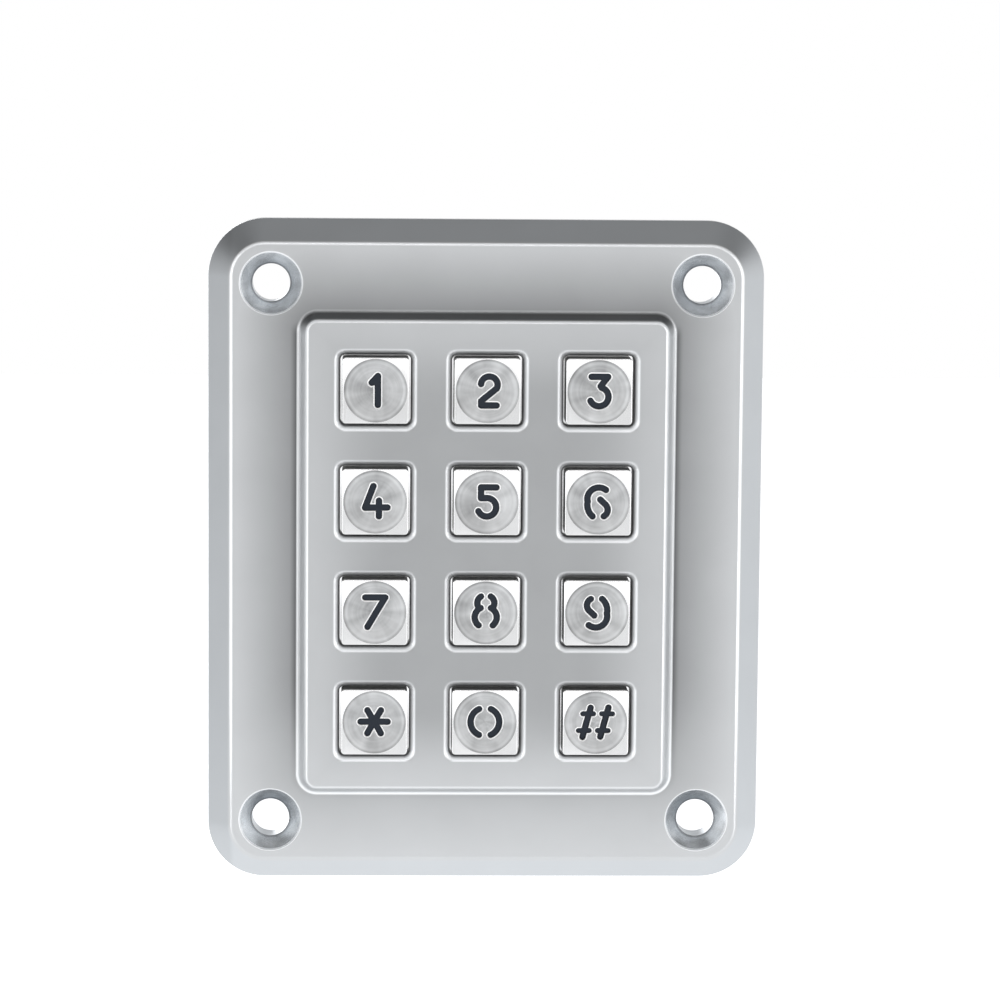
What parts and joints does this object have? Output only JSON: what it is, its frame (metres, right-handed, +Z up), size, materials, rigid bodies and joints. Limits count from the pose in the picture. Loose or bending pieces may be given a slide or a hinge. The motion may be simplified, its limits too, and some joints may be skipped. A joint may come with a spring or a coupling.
{
  "type": "keypad access reader",
  "caption": "Flush-mount metal access keypad: die-cast flanged front with a raised panel, sprung square keys with dished tops, rubber key mat, circuit board and rear cover.",
  "frame": {"origin": "middle of the four mounting holes, in the plane of the flange's rear face", "axes": "+X across the front to the right as the user sees it, +Z up the front, -Y out of the front towards the user"},
  "size_m": [0.0854, 0.0185, 0.1024],
  "materials": {
    "satin_frame": "satin, matt-plated die-cast zinc alloy",
    "polished_key": "polished, plated zinc alloy with a softly brushed dish",
    "dark_insert": "dark slate, moulded",
    "silicone": "matt silicone",
    "carbon_pill": "matt carbon-loaded silicone",
    "board": "solder mask over glass laminate",
    "gold_pad": "gold-plated copper",
    "screw_steel": "zinc-plated",
    "header_plastic": "moulded nylon",
    "gold_pin": "tin or gold plated",
    "black_plastic": "fine moulded texture",
    "gasket_rubber": "matt"
  },
  "bodies": {
    "housing": {"front_frame": "satin_frame", "key_mat": "silicone", "circuit_board": "board", "contact_pads": "gold_pad", "board_screws": "screw_steel", "header_shell": "header_plastic", "header_pins": "gold_pin", "rear_cover": "black_plastic", "cover_screws": "screw_steel", "flange_gasket": "gasket_rubber"},
    "key_1": {"key_cap_1": "polished_key", "key_legend_1": "dark_insert", "key_plunger_1": "silicone", "contact_pill_1": "carbon_pill"},
    "key_2": {"key_cap_2": "polished_key", "key_legend_2": "dark_insert", "key_plunger_2": "silicone", "contact_pill_2": "carbon_pill"},
    "key_3": {"key_cap_3": "polished_key", "key_legend_3": "dark_insert", "key_plunger_3": "silicone", "contact_pill_3": "carbon_pill"},
    "key_4": {"key_cap_4": "polished_key", "key_legend_4": "dark_insert", "key_plunger_4": "silicone", "contact_pill_4": "carbon_pill"},
    "key_5": {"key_cap_5": "polished_key", "key_legend_5": "dark_insert", "key_plunger_5": "silicone", "contact_pill_5": "carbon_pill"},
    "key_6": {"key_cap_6": "polished_key", "key_legend_6": "dark_insert", "key_plunger_6": "silicone", "contact_pill_6": "carbon_pill"},
    "key_7": {"key_cap_7": "polished_key", "key_legend_7": "dark_insert", "key_plunger_7": "silicone", "contact_pill_7": "carbon_pill"},
    "key_8": {"key_cap_8": "polished_key", "key_legend_8": "dark_insert", "key_plunger_8": "silicone", "contact_pill_8": "carbon_pill"},
    "key_9": {"key_cap_9": "polished_key", "key_legend_9": "dark_insert", "key_plunger_9": "silicone", "contact_pill_9": "carbon_pill"},
    "key_star": {"key_cap_star": "polished_key", "key_legend_star": "dark_insert", "key_plunger_star": "silicone", "contact_pill_star": "carbon_pill"},
    "key_0": {"key_cap_0": "polished_key", "key_legend_0": "dark_insert", "key_plunger_0": "silicone", "contact_pill_0": "carbon_pill"},
    "key_hash": {"key_cap_hash": "polished_key", "key_legend_hash": "dark_insert", "key_plunger_hash": "silicone", "contact_pill_hash": "carbon_pill"}
  },
  "joints": [
    {"name": "press_1", "type": "slide", "parent": "housing", "child": "key_1", "axis": [0, 1, 0], "range_m": [0, 0.0008], "stiffness_N_per_m": 1500, "springref_m": -0.0003},
    {"name": "press_2", "type": "slide", "parent": "housing", "child": "key_2", "axis": [0, 1, 0], "range_m": [0, 0.0008], "stiffness_N_per_m": 1500, "springref_m": -0.0003},
    {"name": "press_3", "type": "slide", "parent": "housing", "child": "key_3", "axis": [0, 1, 0], "range_m": [0, 0.0008], "stiffness_N_per_m": 1500, "springref_m": -0.0003},
    {"name": "press_4", "type": "slide", "parent": "housing", "child": "key_4", "axis": [0, 1, 0], "range_m": [0, 0.0008], "stiffness_N_per_m": 1500, "springref_m": -0.0003},
    {"name": "press_5", "type": "slide", "parent": "housing", "child": "key_5", "axis": [0, 1, 0], "range_m": [0, 0.0008], "stiffness_N_per_m": 1500, "springref_m": -0.0003},
    {"name": "press_6", "type": "slide", "parent": "housing", "child": "key_6", "axis": [0, 1, 0], "range_m": [0, 0.0008], "stiffness_N_per_m": 1500, "springref_m": -0.0003},
    {"name": "press_7", "type": "slide", "parent": "housing", "child": "key_7", "axis": [0, 1, 0], "range_m": [0, 0.0008], "stiffness_N_per_m": 1500, "springref_m": -0.0003},
    {"name": "press_8", "type": "slide", "parent": "housing", "child": "key_8", "axis": [0, 1, 0], "range_m": [0, 0.0008], "stiffness_N_per_m": 1500, "springref_m": -0.0003},
    {"name": "press_9", "type": "slide", "parent": "housing", "child": "key_9", "axis": [0, 1, 0], "range_m": [0, 0.0008], "stiffness_N_per_m": 1500, "springref_m": -0.0003},
    {"name": "press_star", "type": "slide", "parent": "housing", "child": "key_star", "axis": [0, 1, 0], "range_m": [0, 0.0008], "stiffness_N_per_m": 1500, "springref_m": -0.0003},
    {"name": "press_0", "type": "slide", "parent": "housing", "child": "key_0", "axis": [0, 1, 0], "range_m": [0, 0.0008], "stiffness_N_per_m": 1500, "springref_m": -0.0003},
    {"name": "press_hash", "type": "slide", "parent": "housing", "child": "key_hash", "axis": [0, 1, 0], "range_m": [0, 0.0008], "stiffness_N_per_m": 1500, "springref_m": -0.0003}
  ]
}
